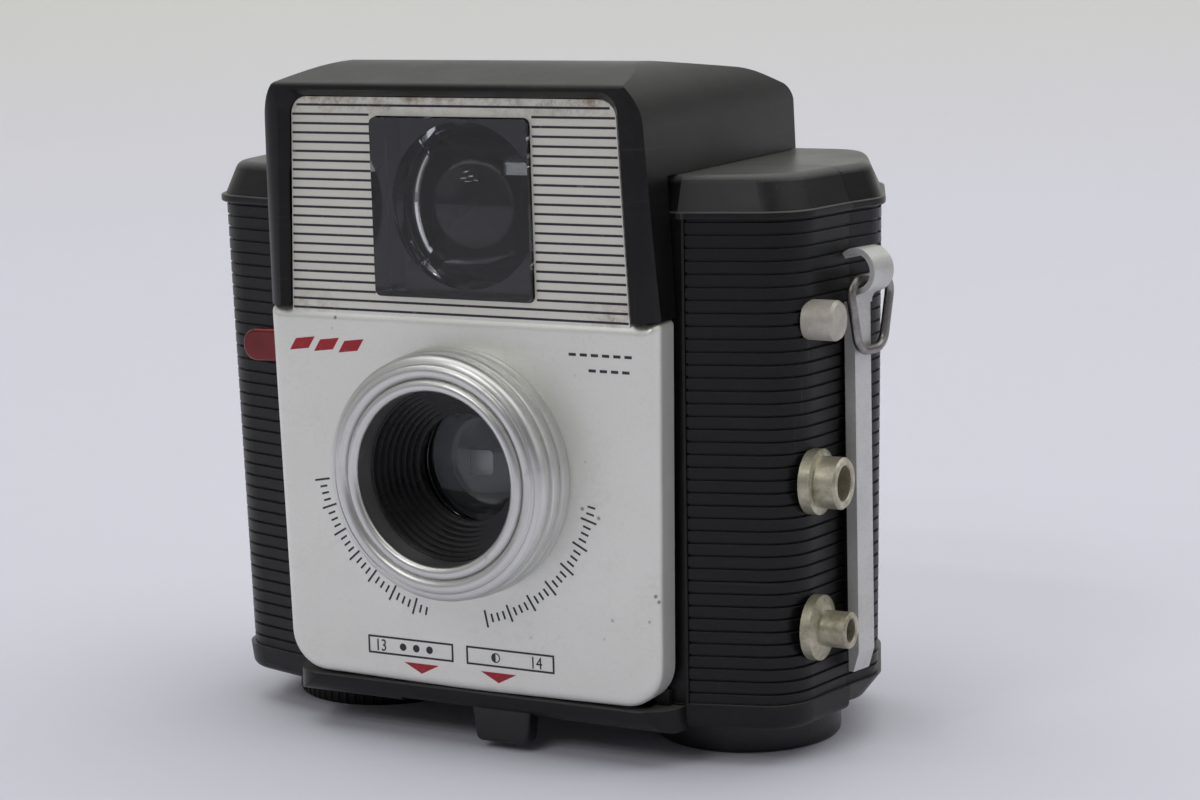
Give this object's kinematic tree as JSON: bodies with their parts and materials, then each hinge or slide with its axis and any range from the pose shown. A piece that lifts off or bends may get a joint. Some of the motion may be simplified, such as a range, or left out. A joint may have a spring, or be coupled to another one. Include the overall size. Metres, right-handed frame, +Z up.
{
  "type": "box camera",
  "caption": "Eye-level box camera with a ribbed black body, finder hood, silver face plate, ringed lens, side flash sockets and a removable back.",
  "frame": {"origin": "on the table, in the middle of the camera's width and depth", "axes": "+Z up, the lens faces -Y, +X is on the right of someone facing the front"},
  "size_m": [0.1056, 0.0592, 0.096],
  "materials": {
    "moulding": "moulded black plastic with a soft sheen, scuffed",
    "inner_moulding": "plain black moulding",
    "silver_plate": "satin silver-cream enamel on pressed metal",
    "bright_metal": "turned and worn bright",
    "baffle_black": "flat black",
    "lens_glass": "clear",
    "finder_glass": "clear moulded block",
    "black_metal": "black paint on thin steel",
    "steel": "plain",
    "contact_metal": "nickel on brass, tarnished",
    "stud_plastic": "pinkish grey",
    "strip_enamel": "off-white enamel on pressed strip",
    "red_plastic": "glossy red moulding",
    "black_plastic": "smooth black moulding",
    "window_red": "dark red transparent disc"
  },
  "bodies": {
    "camera": {"front_body": "moulding", "hood": "moulding", "face_plate": "silver_plate", "lens_bezel": "bright_metal", "lens_baffle": "baffle_black", "taking_lens": "lens_glass", "lens_retainer": "black_metal", "finder_front_lens": "finder_glass", "finder_tunnel": "inner_moulding", "eyepiece_frame": "bright_metal", "eyepiece_lens": "lens_glass", "shutter_plate": "steel", "shutter_pivot": "steel", "trigger_pivot": "steel", "trigger_spring": "steel", "film_carrier": "inner_moulding", "carrier_screws": "steel", "foot_disc": "black_plastic", "foot_screw": "steel", "contact_upper": "contact_metal", "contact_lower": "contact_metal", "contact_nuts": "contact_metal", "flash_stud": "stud_plastic"},
    "release": {"trigger_lever": "red_plastic"},
    "shutter": {"shutter_disc": "black_metal"},
    "aperture": {"aperture_lever": "black_plastic", "aperture_blade": "black_metal"},
    "winding": {"winding_knob": "moulding", "winding_key": "steel", "knob_screw": "steel"},
    "take_up": {"take_up_spool": "inner_moulding"},
    "supply": {"supply_spool": "inner_moulding"},
    "left_roller": {"roller_left": "steel"},
    "right_roller": {"roller_right": "steel"},
    "back": {"rear_cover": "moulding", "red_window": "window_red", "window_ring": "bright_metal", "pressure_plate": "black_metal", "pressure_spring": "steel"},
    "right_latch": {"latch_right": "strip_enamel"},
    "left_latch": {"latch_left": "strip_enamel"},
    "ring": {"strap_ring": "steel"}
  },
  "joints": [
    {"name": "release_press", "type": "hinge", "parent": "camera", "child": "release", "pos_m": [-0.01885, -0.0174, 0.058], "axis": [0, -1, 0], "range_deg": [0, 9], "stiffness_Nm_per_rad": 0.05, "springref_deg": -17.19},
    {"name": "shutter_turn", "type": "hinge", "parent": "camera", "child": "shutter", "pos_m": [-0.01485, -0.01335, 0.0505], "axis": [0, 1, 0], "range_deg": [0, 31.5]},
    {"name": "aperture_slide", "type": "slide", "parent": "camera", "child": "aperture", "axis": [-1, 0, 0], "range_m": [0, 0.0112]},
    {"name": "winding_turn", "type": "hinge", "parent": "camera", "child": "winding", "pos_m": [-0.03245, 0.0047, 0.003], "axis": [0, 0, 1], "continuous": true},
    {"name": "take_up_turn", "type": "hinge", "parent": "camera", "child": "take_up", "pos_m": [-0.03245, 0.0047, 0.0404], "axis": [0, 0, 1], "continuous": true},
    {"name": "supply_turn", "type": "hinge", "parent": "camera", "child": "supply", "pos_m": [0.02875, 0.0047, 0.0404], "axis": [0, 0, 1], "continuous": true},
    {"name": "left_roller_turn", "type": "hinge", "parent": "camera", "child": "left_roller", "pos_m": [-0.02824, 0.0214, 0.0404], "axis": [0, 0, 1], "continuous": true},
    {"name": "right_roller_turn", "type": "hinge", "parent": "camera", "child": "right_roller", "pos_m": [0.02456, 0.0214, 0.0404], "axis": [0, 0, 1], "continuous": true},
    {"name": "back_slide", "type": "slide", "parent": "camera", "child": "back", "axis": [0, 1, 0], "range_m": [0, 0.06]},
    {"name": "right_latch_slide", "type": "slide", "parent": "camera", "child": "right_latch", "axis": [0, 0, -1], "range_m": [0, 0.006]},
    {"name": "left_latch_slide", "type": "slide", "parent": "camera", "child": "left_latch", "axis": [0, 0, -1], "range_m": [0, 0.006]},
    {"name": "ring_swing", "type": "hinge", "parent": "right_latch", "child": "ring", "pos_m": [0.04953, 0.00128, 0.0663], "axis": [-0.225, -0.9744, 0], "range_deg": [0, 90]}
  ],
  "couplings": [
    {"joint": "shutter_turn", "follows": "release_press", "ratio": 3.5},
    {"joint": "take_up_turn", "follows": "winding_turn", "ratio": 1}
  ]
}
